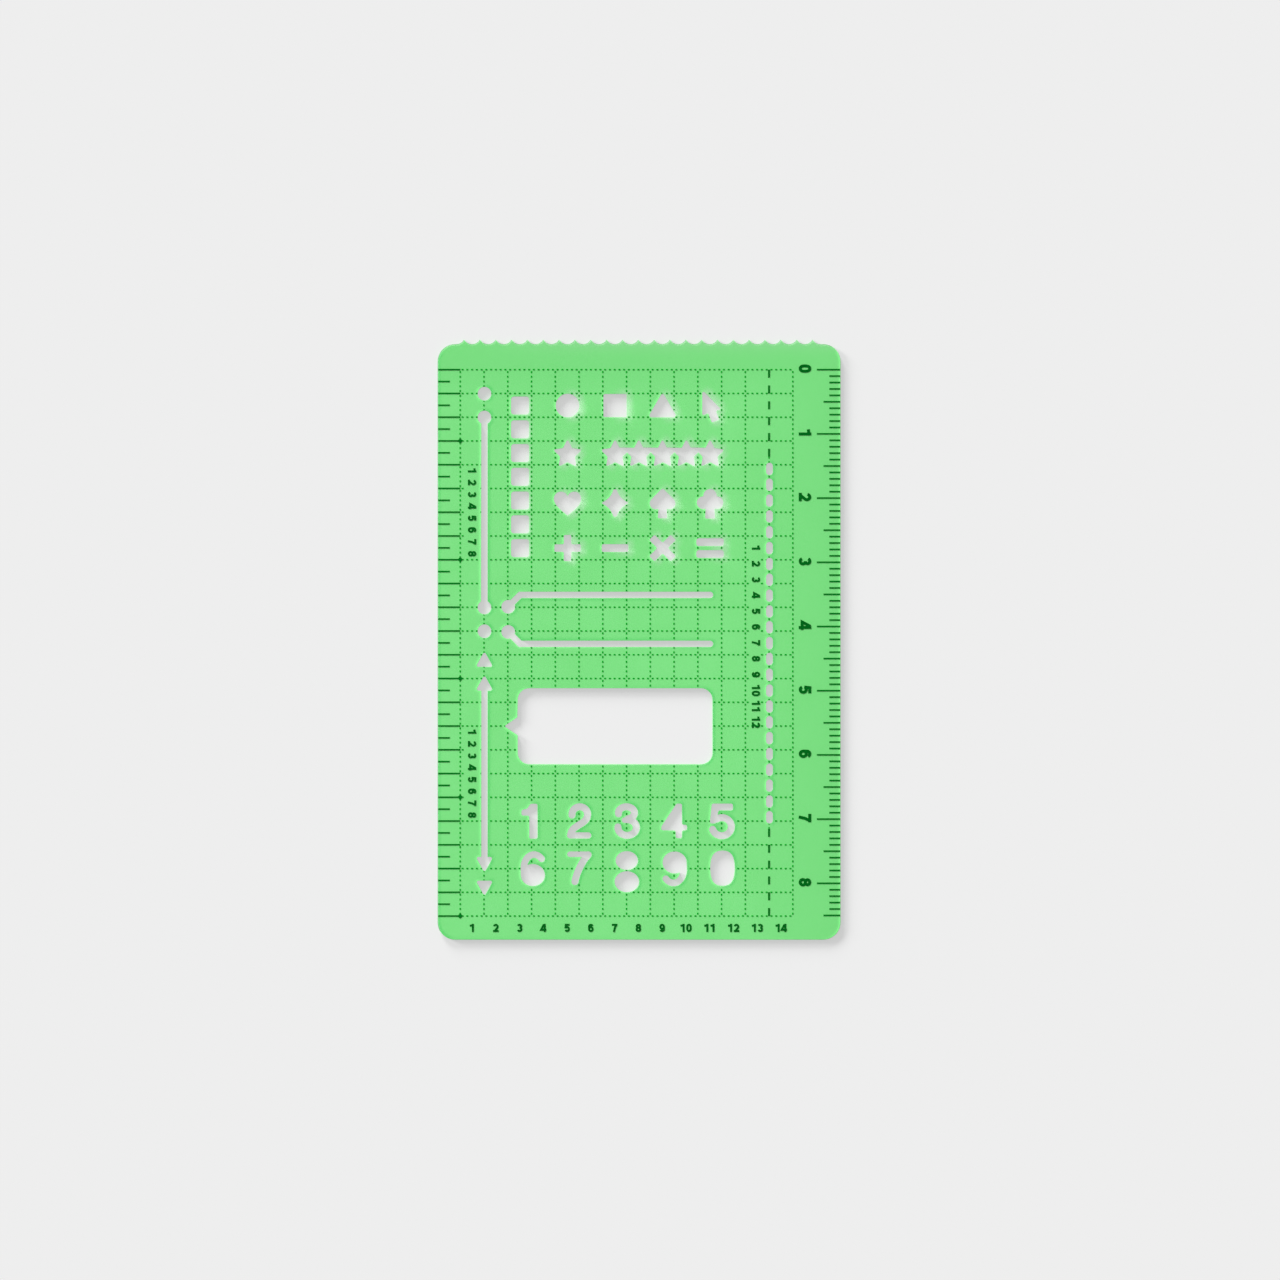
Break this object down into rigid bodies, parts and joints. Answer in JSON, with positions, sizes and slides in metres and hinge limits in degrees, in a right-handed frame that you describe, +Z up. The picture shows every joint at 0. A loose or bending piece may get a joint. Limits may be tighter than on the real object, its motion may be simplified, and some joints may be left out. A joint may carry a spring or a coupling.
{
  "type": "planner stencil",
  "caption": "Thin tinted plastic drawing stencil with a printed grid and ruler, cut-out symbols, timelines, speech bubble, dashes and numerals, and a scalloped top edge.",
  "frame": {"origin": "centre of the sheet's bounding box, on its underside", "axes": "+X across the sheet towards the ruler edge, +Y along it towards the scalloped edge, +Z up out of the printed face"},
  "size_m": [0.0628, 0.0934, 0.0005],
  "materials": {
    "tinted_sheet": "smooth, translucent green, soft sheen",
    "green_ink": "matt printed ink, dark green"
  },
  "bodies": {
    "root": {"stencil_sheet": "tinted_sheet", "row_tick_0": "green_ink", "row_tick_1": "green_ink", "row_tick_2": "green_ink", "row_tick_3": "green_ink", "row_tick_4": "green_ink", "row_tick_5": "green_ink", "row_tick_6": "green_ink", "row_tick_7": "green_ink", "row_tick_8": "green_ink", "row_tick_9": "green_ink", "row_tick_10": "green_ink", "row_tick_11": "green_ink", "row_tick_12": "green_ink", "row_tick_13": "green_ink", "row_tick_14": "green_ink", "row_tick_15": "green_ink", "row_tick_16": "green_ink", "row_tick_17": "green_ink", "row_tick_18": "green_ink", "row_tick_19": "green_ink", "row_tick_20": "green_ink", "row_tick_21": "green_ink", "row_tick_22": "green_ink", "row_tick_23": "green_ink", "ruler_tick_0mm": "green_ink", "ruler_tick_5mm": "green_ink", "ruler_tick_10mm": "green_ink", "ruler_tick_15mm": "green_ink", "ruler_tick_20mm": "green_ink", "ruler_tick_25mm": "green_ink", "ruler_tick_30mm": "green_ink", "ruler_tick_35mm": "green_ink", "ruler_tick_40mm": "green_ink", "ruler_tick_45mm": "green_ink", "ruler_tick_50mm": "green_ink", "ruler_tick_55mm": "green_ink", "ruler_tick_60mm": "green_ink", "ruler_tick_65mm": "green_ink", "ruler_tick_70mm": "green_ink", "ruler_tick_75mm": "green_ink", "ruler_tick_80mm": "green_ink", "ruler_tick_85mm": "green_ink", "guide_dash_0": "green_ink", "guide_dash_1": "green_ink", "guide_dash_2": "green_ink", "guide_dash_3": "green_ink", "guide_dash_4": "green_ink", "guide_dash_5": "green_ink", "guide_dash_29": "green_ink", "guide_dash_30": "green_ink", "guide_dash_31": "green_ink", "guide_dash_32": "green_ink", "guide_dash_33": "green_ink", "guide_dash_34": "green_ink"}
  },
  "joints": []
}
